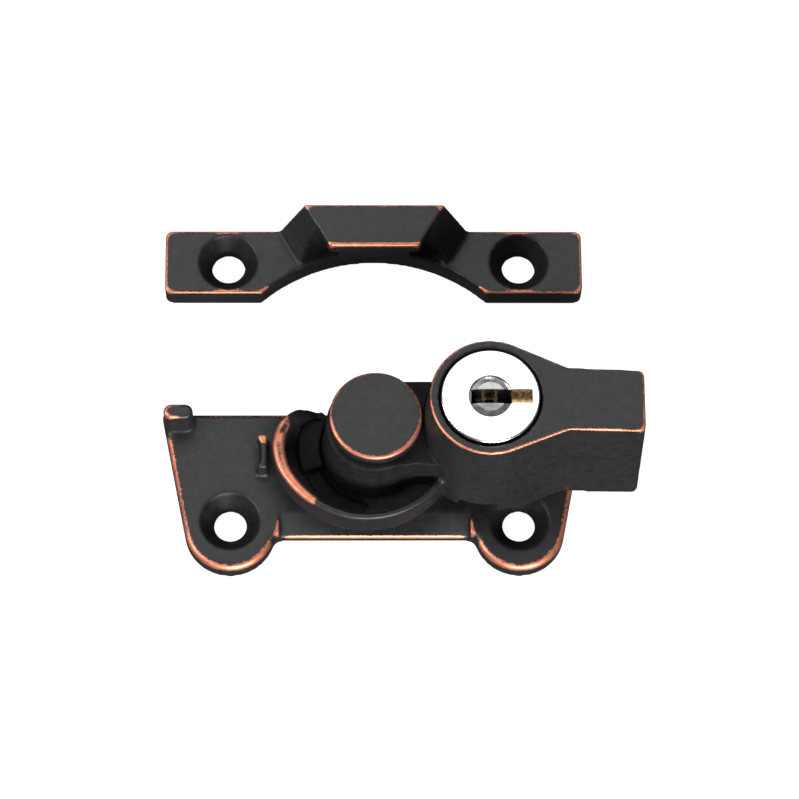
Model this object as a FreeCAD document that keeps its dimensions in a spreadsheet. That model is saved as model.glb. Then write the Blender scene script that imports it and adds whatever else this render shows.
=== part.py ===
import FreeCAD, Part
import math
import os
import Sketcher

# Window sash lock with a key cylinder, and its keeper. Millimetres, +Z up from the sash rail.
# The origin is on the lever's pivot axis, in the plane that the base stands on. +Y points to
# the other sash and the keeper; the lever points along +X when the lock is open.

SIZES = [
    ("plate_top", 3.2, "thickness of the base plate"),
    ("plate_half", 29.65, "half width of the base along its back edge"),
    ("plate_back", 5.5, "back edge of the base"),
    ("plate_front", -12.3, "front edge of the base between the ears"),
    ("plate_thin", 1.6, "thickness of the base at its front edge"),
    ("thin_start", -9.0, "where the base starts to slope down to its front edge"),
    ("thin_half", 13.2, "half width of the sloping front zone"),
    ("ear_half", 20.0, "half of the hole spacing of the base"),
    ("ear_front", -10.3, "line of the base holes"),
    ("ear_centre", -11.1, "centre line of the ears' round ends"),
    ("recess_round", 1.6, "rounding where the ears meet the recessed front"),
    ("ear_radius", 6.3, "radius of each ear"),
    ("screw_bore", 4.5, "screw hole diameter, number 8 screw"),
    ("screw_head", 8.4, "countersink diameter"),
    ("soft_edge", 0.9, "rounding of the base's top edges"),
    ("post_left", -29.25, "outer side of the stop post"),
    ("post_right", -25.15, "inner side of the stop post"),
    ("post_front", 2.85, "front of the stop post"),
    ("post_back", 5.05, "back of the stop post"),
    ("post_round", 0.45, "rounding of the stop post's top edge"),
    ("post_top", 8.4, "top of the stop post"),
    ("fin_outer", -16.3, "outer face of the locking fin"),
    ("fin_inner", -14.9, "inner face of the locking fin"),
    ("fin_front", -3.7, "front end of the locking fin"),
    ("fin_back", 1.2, "back end of the locking fin"),
    ("fin_top", 6.5, "top of the locking fin"),
    ("fin_waist", 0.55, "depth of the scoop in the fin's outer face"),
    ("step_inner", 7.6, "inner radius of the high ring step"),
    ("step_outer", 10.7, "outer radius of the high ring step"),
    ("step_top", 4.9, "top of the high ring step"),
    ("low_step_inner", 8.2, "inner radius of the low ring step"),
    ("low_step_outer", 10.4, "outer radius of the low ring step"),
    ("low_step_top", 4.0, "top of the low ring step"),
    ("rest_inner", 6.9, "inner radius of the lever's rest lug"),
    ("rest_outer", 8.1, "outer radius of the lever's rest lug"),
    ("rest_low", 3.5, "underside of the lever's rest lug"),
    ("pin_radius", 2.5, "pivot pin radius"),
    ("pin_gap", 0.06, "running clearance on the pivot pin"),
    ("rivet_radius", 4.0, "radius of the pin's riveted end"),
    ("rivet_depth", 1.1, "depth of the pin's riveted end"),
    ("knob_radius", 6.3, "pivot cap radius"),
    ("knob_top", 17.2, "top of the pivot cap"),
    ("knob_under", 15.2, "underside of the pivot cap's disc"),
    ("neck_radius", 5.1, "radius of the cap's neck"),
    ("hub_low", 4.0, "underside of the lever hub"),
    ("hub_top", 13.7, "top of the lever hub"),
    ("hub_radius", 7.4, "lever hub radius at its foot"),
    ("hub_well", 12.2, "floor of the hub's counterbore"),
    ("well_radius", 5.45, "radius of the hub's counterbore"),
    ("washer_thick", 0.5, "thickness of the thrust washer"),
    ("web_top", 13.9, "top of the web between hub and housing"),
    ("web_back", 6.2, "back face of the web"),
    ("arm", 15.3, "pivot axis to lock cylinder axis"),
    ("lever_top", 24.2, "top of the lever"),
    ("lever_low", 3.3, "underside of the grip"),
    ("draft", 3.9, "draft of the lever's sides, degrees"),
    ("housing_radius", 8.15, "lock housing radius at its top"),
    ("grip_start", 25.8, "where the grip's straight sides start"),
    ("grip_end", 36.05, "end of the grip"),
    ("grip_foot", 36.45, "end of the grip at its underside"),
    ("grip_back", 4.25, "back edge of the grip's top where it starts"),
    ("grip_back_end", 3.85, "back edge of the grip's top at its end"),
    ("grip_front", -4.65, "front edge of the grip's top where it starts"),
    ("grip_front_end", -4.9, "front edge of the grip's top at its end"),
    ("grip_round", 0.9, "rounding of the grip's upright corners"),
    ("hollow_half", 3.5, "half width of the hollow in the grip"),
    ("keeper_way", 4.4, "where the lever's underside is raised over the keeper's ear"),
    ("keeper_way_low", 7.0, "underside of the lever over the keeper's ear"),
    ("front_way", -8.5, "where the housing's underside is raised over the other ear, locked"),
    ("front_way_low", 4.3, "underside of the housing there"),
    ("grip_wall", 1.5, "wall of the hollow grip"),
    ("inner_low", 5.2, "underside of the lever near the pivot"),
    ("fin_way_low", 6.8, "underside of the lever over the fin's path"),
    ("fin_way_in", 14.2, "inner radius of the fin's path"),
    ("fin_way_out", 19.0, "outer radius of the fin's path"),
    ("barrel_radius", 6.0, "lock barrel radius"),
    ("barrel_low", 9.4, "lower end of the lock barrel"),
    ("head_low", 22.2, "underside of the barrel's head"),
    ("head_radius", 6.2, "radius of the barrel's head"),
    ("head_top", 23.3, "top of the barrel's head"),
    ("face_radius", 6.65, "lock face radius"),
    ("face_top", 24.6, "top of the lock face"),
    ("well_gap", 0.3, "gap around the lock face"),
    ("dowel_radius", 0.8, "dowel between barrel and housing"),
    ("dowel_top", 16.0, "top of that dowel"),
    ("plug_radius", 2.93, "lock plug radius"),
    ("plug_gap", 0.05, "running clearance of the plug"),
    ("key_left", -2.6, "keyway's left end from the plug axis"),
    ("key_right", 5.65, "keyway's right end from the plug axis, in the face"),
    ("key_wide", 2.0, "keyway width"),
    ("key_floor", 11.0, "lower end of the keyway"),
    ("wafer_first", 12.2, "lowest wafer"),
    ("wafer_pitch", 2.0, "wafer spacing"),
    ("wafer_thick", 0.7, "wafer thickness"),
    ("cam_low", 7.0, "underside of the locking cam"),
    ("cam_top", 8.6, "top of the locking cam"),
    ("cam_radius", 3.3, "radius of the locking cam's disc"),
    ("lug_in", 4.1, "inner face of the locking lug from the plug axis"),
    ("lug_out", 5.7, "outer face of the locking lug"),
    ("lug_low", 3.9, "lower end of the locking lug"),
    ("lug_half", 1.7, "half width of the locking lug"),
    ("wall_low", 5.2, "underside of the crescent cam wall"),
    ("wall_top", 10.2, "crest of the crescent cam wall"),
    ("crest_round", 0.45, "rounding of the cam wall's crest"),
    ("wall_end", 5.2, "plane that ends the tip of the cam wall"),
    ("keeper_front", 23.4, "front edge of the keeper, sashes apart"),
    ("keeper_half", 29.5, "half width of the keeper"),
    ("keeper_deep", 9.5, "keeper depth"),
    ("keeper_ear", 3.9, "keeper ear thickness"),
    ("keeper_round", 1.0, "rounding of the keeper's corners"),
    ("keeper_hole_half", 20.6, "half of the keeper's hole spacing"),
    ("keeper_bore", 4.7, "keeper screw hole diameter"),
    ("arch_radius", 23.7, "radius of the keeper's arched front edge"),
    ("arch_half", 15.87, "half span of the arch"),
    ("bridge_top", 13.3, "top of the keeper's bridge"),
    ("bridge_half", 9.8, "half width of the bridge at its back"),
    ("lip_half", 6.2, "half width of the bridge at its front lip"),
    ("lip_depth", 3.25, "front lip behind the keeper's front edge"),
    ("foot_half", 13.4, "half width of the bridge's foot at the back"),
    ("tongue_low", 6.9, "lower end of the tongue"),
    ("tongue_half", 2.2, "half width of the tongue's lower end"),
    ("tongue_back", 10.3, "radius of the tongue's back face about the pivot, closed"),
    ("way_low", 14.4, "radius of the cam wall's way at the keeper's floor"),
    ("way_high", 14.6, "radius of the cam wall's way under the ceiling"),
    ("ceiling", 10.8, "underside of the bridge's ceiling"),
    ("web_front", -6.6, "front face of the web at the pivot"),
    ("web_waist", -5.8, "front face of the web at its waist"),
    ("web_waist_at", 5.6, "where that waist is"),
    ("web_shoulder", -6.4, "front face of the web at the housing"),
    ("web_overlap", 2.2, "how far the web stops short of the fin's path"),
    ("cap_round", 0.35, "rounding of the pivot cap's rim"),
    ("cone_thick", 0.35, "thickness of the spring washer"),
    ("chamber_half", 4.3, "half length of the wafer chambers in the barrel"),
    ("head_slot", 0.9, "depth of the key slot in the barrel's head"),
    ("face_round", 0.25, "rounding of the lock face's rim"),
    ("tail_radius", 2.3, "radius of the plug's tail"),
    ("tail_bore", 1.0, "radius of the screw hole in the plug's tail"),
    ("screw_head_radius", 2.0, "radius of the cam screw's head"),
    ("screw_head_high", 0.8, "height of the cam screw's head"),
    ("screw_slot_half", 0.3, "half width of the cam screw's slot"),
    ("wafer_slot_half", 3.2, "half length of the wafer slots in the plug"),
    ("wafer_half", 1.05, "half width of a wafer"),
    ("wafer_back", 2.6, "half length of a wafer"),
    ("window_half", 0.7, "half width of a wafer's window"),
    ("window_high", 0.95, "half length of a wafer's window"),
    ("ear_reach", 0.85, "how far a wafer's ear stands out"),
    ("ear_end", 1.6, "far side of a wafer's ear"),
    ("ear_start", 1.2, "near side of a wafer's ear, where its spring pushes"),
    ("spring_start", -1.2, "where a wafer's spring starts"),
    ("clip_inner", 2.35, "inner radius of the plug's clip"),
    ("clip_outer", 4.2, "outer radius of the plug's clip"),
    ("closing", 17.8, "keeper travel from apart to closed"),
]

doc = FreeCAD.newDocument("sash_lock")
sheet = doc.addObject("Spreadsheet::Sheet", "Sizes")
for row, (alias, number, meaning) in enumerate(SIZES, 1):
    sheet.set(f"A{row}", meaning)
    sheet.set(f"B{row}", str(number))
    sheet.setAlias(f"B{row}", alias)
doc.recompute()


class Size:
    """A length: its present number, and the sheet expression that keeps it bound."""

    def __init__(self, number, text):
        self.number = number
        self.text = text

    def joined(self, other, sign):
        if not isinstance(other, Size):
            other = Size(other, str(other))
        result = {
            "+": lambda a, b: a + b,
            "-": lambda a, b: a - b,
            "*": lambda a, b: a * b,
            "/": lambda a, b: a / b,
        }[sign](self.number, other.number)
        return Size(result, f"({self.text} {sign} {other.text})")

    def __add__(self, other):
        return self.joined(other, "+")

    def __sub__(self, other):
        return self.joined(other, "-")

    def __mul__(self, other):
        return self.joined(other, "*")

    def __truediv__(self, other):
        return self.joined(other, "/")

    def __neg__(self):
        return self * -1


NUMBER = {alias: number for alias, number, meaning in SIZES}
SIZE = {alias: Size(number, f"Sizes.{alias}") for alias, number in NUMBER.items()}
ZERO = Size(0.0, "0")
V = FreeCAD.Vector
sub_parts = []


def bind(thing, prop, size):
    """Set a property now and bind it to the sheet."""
    setattr(thing, prop, size.number)
    thing.setExpression(prop, size.text)


def named(thing, label, counts=True):
    """Label an object; the ones that count are separate pieces of the lock."""
    thing.Label = label
    if counts:
        sub_parts.append(thing)
    return thing


def start_body(name, counts=True):
    return named(doc.addObject("PartDesign::Body", name), name, counts)


def add_sketch(body, name, role="XY_Plane", offset=None):
    """A sketch on one of the body's own origin planes, lifted by offset."""
    sketch = body.newObject("Sketcher::SketchObject", name)
    plane = next(item for item in body.Origin.OriginFeatures if item.Role == role)
    sketch.AttachmentSupport = [(plane, "")]
    sketch.MapMode = "FlatFace"
    if offset is not None:
        sketch.AttachmentOffset = FreeCAD.Placement(V(0, 0, offset.number), FreeCAD.Rotation())
        sketch.setExpression("AttachmentOffset.Base.z", offset.text)
    return sketch


def hold(sketch, shape, corner, across, along):
    """Fix a point of the sketch by its two distances from the origin."""
    for kind, size in (("DistanceX", across), ("DistanceY", along)):
        index = sketch.addConstraint(Sketcher.Constraint(kind, -1, 1, shape, corner, size.number))
        if size.text != "0":
            sketch.setExpression(f"Constraints[{index}]", size.text)


def add_circle(sketch, across, along, radius):
    centre = V(across.number, along.number, 0)
    shape = sketch.addGeometry(Part.Circle(centre, V(0, 0, 1), radius.number), False)
    hold(sketch, shape, 3, across, along)
    index = sketch.addConstraint(Sketcher.Constraint("Radius", shape, radius.number))
    sketch.setExpression(f"Constraints[{index}]", radius.text)


def add_polygon(sketch, corners):
    """A closed outline of straight lines through the given corners."""
    points = [V(x.number, y.number, 0) for x, y in corners]
    lines = []
    for start, end in zip(points, points[1:] + points[:1]):
        lines.append(sketch.addGeometry(Part.LineSegment(start, end), False))
    for line, following in zip(lines, lines[1:] + lines[:1]):
        sketch.addConstraint(Sketcher.Constraint("Coincident", line, 2, following, 1))
    for line, (x, y) in zip(lines, corners):
        hold(sketch, line, 1, x, y)


def add_rectangle(sketch, left, right, low, high):
    add_polygon(sketch, [(left, low), (right, low), (right, high), (left, high)])


def add_arc(sketch, across, along, radius, start, end):
    """An arc from angle start to angle end, in degrees, with its centre and radius bound."""
    circle = Part.Circle(V(across.number, along.number, 0), V(0, 0, 1), radius.number)
    arc = Part.ArcOfCircle(circle, math.radians(start), math.radians(end))
    shape = sketch.addGeometry(arc, False)
    hold(sketch, shape, 3, across, along)
    index = sketch.addConstraint(Sketcher.Constraint("Radius", shape, radius.number))
    sketch.setExpression(f"Constraints[{index}]", radius.text)
    return shape


def add_slot(sketch, left, right, front, back):
    """A slot along X with round ends."""
    radius = (back - front) / 2
    along = (front + back) / 2
    left_end = add_arc(sketch, left + radius, along, radius, 90, 270)
    right_end = add_arc(sketch, right - radius, along, radius, -90, 90)
    start = (left + radius).number
    end = (right - radius).number
    upper = Part.LineSegment(V(end, back.number, 0), V(start, back.number, 0))
    lower = Part.LineSegment(V(start, front.number, 0), V(end, front.number, 0))
    upper_line = sketch.addGeometry(upper, False)
    lower_line = sketch.addGeometry(lower, False)
    for first, second in ((right_end, upper_line), (upper_line, left_end),
                          (left_end, lower_line), (lower_line, right_end)):
        sketch.addConstraint(Sketcher.Constraint("Tangent", first, 2, second, 1))


def pad(body, sketch, name, length, taper=None, down=False):
    feature = body.newObject("PartDesign::Pad", name)
    feature.Profile = sketch
    bind(feature, "Length", length)
    feature.Reversed = down
    if taper is not None:
        bind(feature, "TaperAngle", taper)
    return feature


def pocket(body, sketch, name, length, up=False):
    """Cut a sketch's outline out of the body, down from the sketch or up from it."""
    doc.recompute()
    before = body.Tip.Shape.Volume
    feature = body.newObject("PartDesign::Pocket", name)
    feature.Profile = sketch
    bind(feature, "Length", length)
    feature.Reversed = up
    doc.recompute()
    if feature.Shape.Volume >= before - 1e-6:
        raise RuntimeError(f"{name} removes nothing")
    return feature


def round_edges(body, name, radius, wanted):
    """Fillet the edges of the body's present shape whose middle passes the test."""
    doc.recompute()
    base = body.Tip
    chosen = []
    for number, edge in enumerate(base.Shape.Edges, 1):
        middle = edge.valueAt((edge.FirstParameter + edge.LastParameter) / 2)
        if wanted(edge, middle):
            chosen.append(f"Edge{number}")
    feature = body.newObject("PartDesign::Fillet", name)
    feature.Base = (base, chosen)
    bind(feature, "Radius", radius)
    return feature


def revolve(body, name, outline, axis_across=ZERO):
    """Turn an outline of (radius, height) corners about a vertical axis."""
    sketch = add_sketch(body, name + "_profile", "XZ_Plane")
    add_polygon(sketch, [(axis_across + radius, height) for radius, height in outline])
    line = sketch.addGeometry(
        Part.LineSegment(V(axis_across.number, -1, 0), V(axis_across.number, 1, 0)), True
    )
    hold(sketch, line, 1, axis_across, Size(-1.0, "-1"))
    hold(sketch, line, 2, axis_across, Size(1.0, "1"))
    feature = body.newObject("PartDesign::Revolution", name)
    feature.Profile = sketch
    feature.ReferenceAxis = (sketch, ["Axis0"])
    feature.Angle = 360
    return feature


def screw_holes(body, name, half_spacing, along, top, bore, head):
    """Two countersunk holes, drilled from the top."""
    sketch = add_sketch(body, name + "_centres", "XY_Plane", top)
    for side in (-1, 1):
        add_circle(sketch, half_spacing * side, along, bore / 2)
    doc.recompute()
    before = body.Tip.Shape.Volume
    hole = body.newObject("PartDesign::Hole", name)
    hole.Profile = sketch
    doc.recompute()
    hole.ThreadType = 0
    hole.DepthType = 1
    bind(hole, "Diameter", bore)
    hole.HoleCutType = "Countersink"
    hole.HoleCutCustomValues = True
    bind(hole, "HoleCutDiameter", head)
    hole.HoleCutCountersinkAngle = 82
    doc.recompute()
    if hole.Shape.Volume >= before:
        raise RuntimeError(f"{name} removes nothing")


# ---------------------------------------------------------------------------- base and pivot

def ear_outline(sketch):
    """Outline of the base: straight back, sides tangent to the two ears, recessed front."""
    centre_x = NUMBER["ear_half"]
    centre_y = NUMBER["ear_centre"]
    radius = NUMBER["ear_radius"]
    corner_x = NUMBER["plate_half"]
    corner_y = NUMBER["plate_back"]
    reach = math.hypot(corner_x - centre_x, corner_y - centre_y)
    toward_corner = math.degrees(math.atan2(corner_y - centre_y, corner_x - centre_x))
    touch = toward_corner - math.degrees(math.acos(radius / reach))
    inner = 180 - math.degrees(math.asin((NUMBER["plate_front"] - centre_y) / radius))
    right_centre = (SIZE["ear_half"], SIZE["ear_centre"])
    left_centre = (-SIZE["ear_half"], SIZE["ear_centre"])
    right = add_arc(sketch, *right_centre, SIZE["ear_radius"], inner - 360, touch)
    left = add_arc(sketch, *left_centre, SIZE["ear_radius"], 180 - touch, 540 - inner)

    def on_ear(angle, side):
        spot = math.radians(angle)
        return V(side * (centre_x + radius * math.cos(spot)), centre_y + radius * math.sin(spot), 0)

    def line(start, end):
        return sketch.addGeometry(Part.LineSegment(start, end), False)

    back_right = V(corner_x, corner_y, 0)
    back_left = V(-corner_x, corner_y, 0)
    right_side = line(on_ear(touch, 1), back_right)
    back = line(back_right, back_left)
    left_side = line(back_left, on_ear(touch, -1))
    front = line(on_ear(inner, -1), on_ear(inner, 1))
    joints = [
        (right, 2, right_side, 1), (right_side, 2, back, 1), (back, 2, left_side, 1),
        (left_side, 2, left, 1), (left, 2, front, 1), (front, 2, right, 1),
    ]
    for first, end, second, start in joints:
        sketch.addConstraint(Sketcher.Constraint("Coincident", first, end, second, start))
    hold(sketch, back, 1, SIZE["plate_half"], SIZE["plate_back"])
    hold(sketch, back, 2, -SIZE["plate_half"], SIZE["plate_back"])


def on_ring(radius, angle):
    """The point at an angle in degrees on a ring about the pivot, bound to the ring's radius."""
    spot = math.radians(angle)
    return radius * round(math.cos(spot), 5), radius * round(math.sin(spot), 5)


def ring_piece(body, name, inner, outer, start, end, low, top):
    """Part of a flat ring about the pivot, between two angles and two heights."""
    sketch = add_sketch(body, name + "_outline", "XY_Plane", low)
    steps = 6
    angles = [start + (end - start) * step / steps for step in range(steps + 1)]
    corners = [on_ring(inner, angle) for angle in angles]
    corners += [on_ring(outer, angle) for angle in reversed(angles)]
    add_polygon(sketch, corners)
    return pad(body, sketch, name, top - low)


def make_base_plate():
    body = start_body("base_plate")
    outline = add_sketch(body, "plate_outline")
    ear_outline(outline)
    pad(body, outline, "plate", SIZE["plate_top"])

    def recess_corner(edge, middle):
        upright = abs(middle.z - NUMBER["plate_top"] / 2) < 0.01
        in_recess = abs(middle.y - NUMBER["plate_front"]) < 0.1
        return upright and in_recess and abs(middle.x) < NUMBER["ear_half"]

    round_edges(body, "recess_corners", SIZE["recess_round"], recess_corner)
    slope = add_sketch(body, "front_slope", "YZ_Plane")
    low = SIZE["plate_thin"]
    add_polygon(slope, [
        (SIZE["thin_start"], SIZE["plate_top"]),
        (SIZE["plate_front"], low),
        (SIZE["plate_front"] - 3, low),
        (SIZE["plate_front"] - 3, SIZE["plate_top"] + 1),
        (SIZE["thin_start"], SIZE["plate_top"] + 1),
    ])
    doc.recompute()
    cut = body.newObject("PartDesign::Pocket", "front_slope_cut")
    cut.Profile = slope
    cut.Midplane = True
    bind(cut, "Length", SIZE["thin_half"] * 2)

    def top_rim(edge, middle):
        flat_top = abs(middle.z - NUMBER["plate_top"]) < 0.01
        inside = abs(middle.x) < NUMBER["thin_half"] + 0.1 and middle.y < NUMBER["plate_back"] - 0.1
        return flat_top and not inside

    round_edges(body, "soft_rim", SIZE["soft_edge"], top_rim)
    doc.recompute()
    screw_holes(body, "screw_hole", SIZE["ear_half"], SIZE["ear_front"], SIZE["plate_top"],
                SIZE["screw_bore"], SIZE["screw_head"])
    post = add_sketch(body, "post_outline", "XY_Plane", SIZE["plate_top"] - 1)
    add_slot(post, SIZE["post_left"], SIZE["post_right"], SIZE["post_front"], SIZE["post_back"])
    pad(body, post, "post", SIZE["post_top"] - SIZE["plate_top"] + 1)
    round_edges(body, "post_crown", SIZE["post_round"],
                lambda edge, middle: abs(middle.z - NUMBER["post_top"]) < 0.01)
    fin = add_sketch(body, "fin_outline", "XY_Plane", SIZE["plate_top"] - 0.5)
    waist = SIZE["fin_outer"] + SIZE["fin_waist"]
    middle_y = (SIZE["fin_front"] + SIZE["fin_back"]) / 2
    add_polygon(fin, [
        (SIZE["fin_inner"], SIZE["fin_front"]),
        (SIZE["fin_inner"], SIZE["fin_back"]),
        (SIZE["fin_outer"], SIZE["fin_back"]),
        (waist, middle_y + 1.2),
        (waist, middle_y - 1.2),
        (SIZE["fin_outer"], SIZE["fin_front"]),
    ])
    pad(body, fin, "fin", SIZE["fin_top"] - SIZE["plate_top"] + 0.5)
    ring_piece(body, "high_ring_step", SIZE["step_inner"], SIZE["step_outer"], 152, 202,
               SIZE["plate_top"] - 0.5, SIZE["step_top"])
    ring_piece(body, "low_ring_step", SIZE["low_step_inner"], SIZE["low_step_outer"], 204, 262,
               SIZE["plate_top"] - 0.5, SIZE["low_step_top"])
    bore = add_sketch(body, "pin_bore_outline")
    add_circle(bore, ZERO, ZERO, SIZE["pin_radius"])
    pocket(body, bore, "pin_bore", SIZE["plate_top"] + 1, up=True)
    seat = add_sketch(body, "rivet_seat_outline")
    add_circle(seat, ZERO, ZERO, SIZE["rivet_radius"])
    pocket(body, seat, "rivet_seat", SIZE["rivet_depth"], up=True)


def make_pivot_pin():
    body = start_body("pivot_pin")
    revolve(body, "pin", [
        (ZERO, ZERO), (SIZE["rivet_radius"], ZERO), (SIZE["rivet_radius"], SIZE["rivet_depth"]),
        (SIZE["pin_radius"], SIZE["rivet_depth"]), (SIZE["pin_radius"], SIZE["knob_under"] + 0.6),
        (ZERO, SIZE["knob_under"] + 0.6),
    ])


def make_pivot_knob():
    body = start_body("pivot_knob")
    neck_low = SIZE["hub_well"] + SIZE["washer_thick"] + 0.05
    revolve(body, "cap", [
        (SIZE["pin_radius"], neck_low), (SIZE["neck_radius"], neck_low),
        (SIZE["neck_radius"], SIZE["knob_under"]), (SIZE["knob_radius"], SIZE["knob_under"]),
        (SIZE["knob_radius"], SIZE["knob_top"]), (ZERO, SIZE["knob_top"]),
        (ZERO, SIZE["knob_under"] + 0.6), (SIZE["pin_radius"], SIZE["knob_under"] + 0.6),
    ])
    round_edges(body, "cap_rim", SIZE["cap_round"],
                lambda edge, middle: abs(middle.z - NUMBER["knob_top"]) < 0.01)


def make_washers():
    spring = start_body("spring_washer")
    bore = SIZE["pin_radius"] + SIZE["pin_gap"]
    thick = SIZE["cone_thick"]
    revolve(spring, "cone", [
        (bore, SIZE["hub_low"] - thick), (SIZE["hub_radius"] - 1, SIZE["plate_top"]),
        (SIZE["hub_radius"] - 1, SIZE["plate_top"] + thick), (bore, SIZE["hub_low"]),
    ])
    thrust = start_body("thrust_washer")
    revolve(thrust, "ring", [
        (bore, SIZE["hub_well"]), (SIZE["neck_radius"], SIZE["hub_well"]),
        (SIZE["neck_radius"], SIZE["hub_well"] + SIZE["washer_thick"]),
        (bore, SIZE["hub_well"] + SIZE["washer_thick"]),
    ])


# ---------------------------------------------------------------------------- lever

def shoulder_angle(along):
    """Angle on the housing's circle where a line to the grip's first corner touches it."""
    reach = math.hypot(NUMBER["grip_start"] - NUMBER["arm"], along)
    toward = math.degrees(math.atan2(abs(along), NUMBER["grip_start"] - NUMBER["arm"]))
    return toward + math.degrees(math.acos(NUMBER["housing_radius"] / reach))


def lever_outline(sketch):
    """Plan of the lever's top: round housing, tangent shoulders, and a grip that leans forward."""
    back_touch = shoulder_angle(NUMBER["grip_back"])
    front_touch = shoulder_angle(NUMBER["grip_front"])
    arc = add_arc(sketch, SIZE["arm"], ZERO, SIZE["housing_radius"], back_touch, 360 - front_touch)

    def on_housing(angle):
        spot = math.radians(angle)
        radius = NUMBER["housing_radius"]
        return V(NUMBER["arm"] + radius * math.cos(spot), radius * math.sin(spot), 0)

    held = [
        (SIZE["grip_start"], SIZE["grip_front"]), (SIZE["grip_end"], SIZE["grip_front_end"]),
        (SIZE["grip_end"], SIZE["grip_back_end"]), (SIZE["grip_start"], SIZE["grip_back"]),
    ]
    corners = [V(across.number, along.number, 0) for across, along in held]
    corners = [on_housing(-front_touch)] + corners + [on_housing(back_touch)]
    lines = []
    for start, end in zip(corners, corners[1:]):
        lines.append(sketch.addGeometry(Part.LineSegment(start, end), False))
    for line, following in zip(lines, lines[1:]):
        sketch.addConstraint(Sketcher.Constraint("Coincident", line, 2, following, 1))
    sketch.addConstraint(Sketcher.Constraint("Coincident", arc, 2, lines[0], 1))
    sketch.addConstraint(Sketcher.Constraint("Coincident", lines[-1], 2, arc, 1))
    for line, (across, along) in zip(lines[1:], held):
        hold(sketch, line, 1, across, along)


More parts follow.
